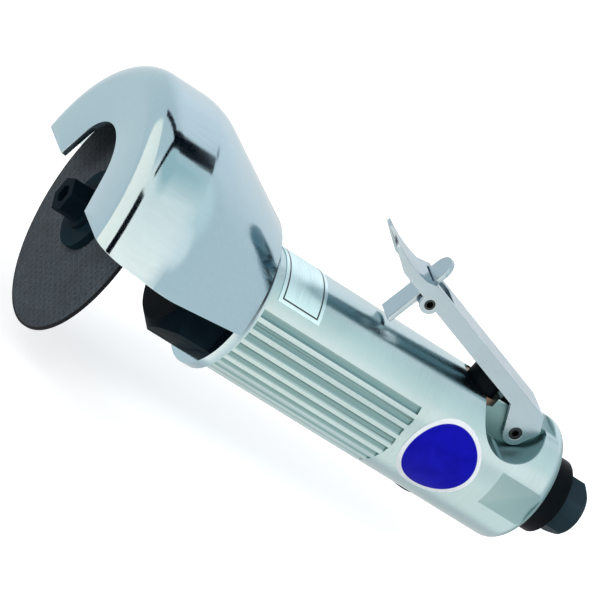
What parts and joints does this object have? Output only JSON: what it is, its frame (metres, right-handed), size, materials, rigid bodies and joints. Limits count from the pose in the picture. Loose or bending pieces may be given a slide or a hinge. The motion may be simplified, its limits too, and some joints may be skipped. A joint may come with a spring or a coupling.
{
  "type": "pneumatic cut off tool",
  "caption": "Straight air cut-off tool with a fluted housing, a polished half guard over an abrasive wheel, a squeeze lever with a swinging lock, and a threaded inlet.",
  "frame": {"origin": "centre of the air inlet's mouth", "axes": "+X along the spindle to the wheel, +Z towards the throttle lever, +Y towards the badge"},
  "size_m": [0.196, 0.091, 0.0847],
  "materials": {
    "polished_aluminium": "polished",
    "plate_silver": "satin",
    "badge_print": "gloss",
    "black_steel": "black oxide",
    "chrome_plate": "mirror plated",
    "bright_steel": "turned",
    "grey_iron": "machined",
    "vane_laminate": "laminate",
    "abrasive": "coarse grit",
    "zinc_steel": "zinc plated",
    "black_plastic": "moulded",
    "rubber": "moulded",
    "brass": "turned",
    "slate_steel": "dark plated"
  },
  "bodies": {
    "housing": {"housing": "polished_aluminium", "nameplate": "plate_silver", "badge": "badge_print", "clamp_nut": "black_steel", "front_end_plate": "bright_steel", "front_bearing_outer": "bright_steel", "motor_cylinder": "grey_iron", "cylinder_pin": "bright_steel", "rear_end_plate": "bright_steel", "rear_bearing_outer": "bright_steel", "lever_pin": "bright_steel", "valve_bush": "brass", "valve_plug": "slate_steel", "valve_spring": "bright_steel", "inlet_bushing": "slate_steel", "inlet_screen": "bright_steel", "exhaust_deflector": "black_plastic"},
    "guard": {"wheel_guard": "chrome_plate", "guard_collar": "chrome_plate"},
    "spindle": {"spindle": "bright_steel", "rotor": "grey_iron", "rotor_vanes": "vane_laminate", "front_bearing_inner": "bright_steel", "rear_bearing_inner": "bright_steel", "spindle_sleeve": "bright_steel", "inner_flange": "bright_steel", "cutting_wheel": "abrasive", "outer_flange": "black_steel", "arbor_bolt": "black_steel"},
    "lever": {"throttle_lever": "zinc_steel", "lock_pin": "bright_steel", "lock_spring": "bright_steel"},
    "lock": {"lock_lever": "zinc_steel"},
    "plunger": {"valve_plunger": "black_plastic", "plunger_seal": "rubber", "valve_poppet": "brass", "valve_seal": "rubber"}
  },
  "joints": [
    {"name": "spindle_spin", "type": "hinge", "parent": "housing", "child": "spindle", "pos_m": [0.1, 0, 0], "axis": [1, 0, 0], "continuous": true},
    {"name": "guard_swivel", "type": "hinge", "parent": "housing", "child": "guard", "pos_m": [0.1357, 0, 0], "axis": [1, 0, 0], "continuous": true},
    {"name": "lever_squeeze", "type": "hinge", "parent": "housing", "child": "lever", "pos_m": [0.0365, 0, 0.0141], "axis": [0, 1, 0], "range_deg": [0, 8], "stiffness_Nm_per_rad": 3, "springref_deg": -11.46},
    {"name": "lock_swing", "type": "hinge", "parent": "lever", "child": "lock", "pos_m": [0.08683, 0, 0.0336], "axis": [0, -1, 0], "range_deg": [0, 65]},
    {"name": "plunger_slide", "type": "slide", "parent": "housing", "child": "plunger", "axis": [0, 0, -1], "range_m": [0, 0.0024], "deforming": ["valve_spring"]}
  ],
  "couplings": [
    {"joint": "lock_swing", "follows": "lever_squeeze", "ratio": 8},
    {"joint": "plunger_slide", "follows": "lever_squeeze", "m_per_rad": 0.01684}
  ]
}
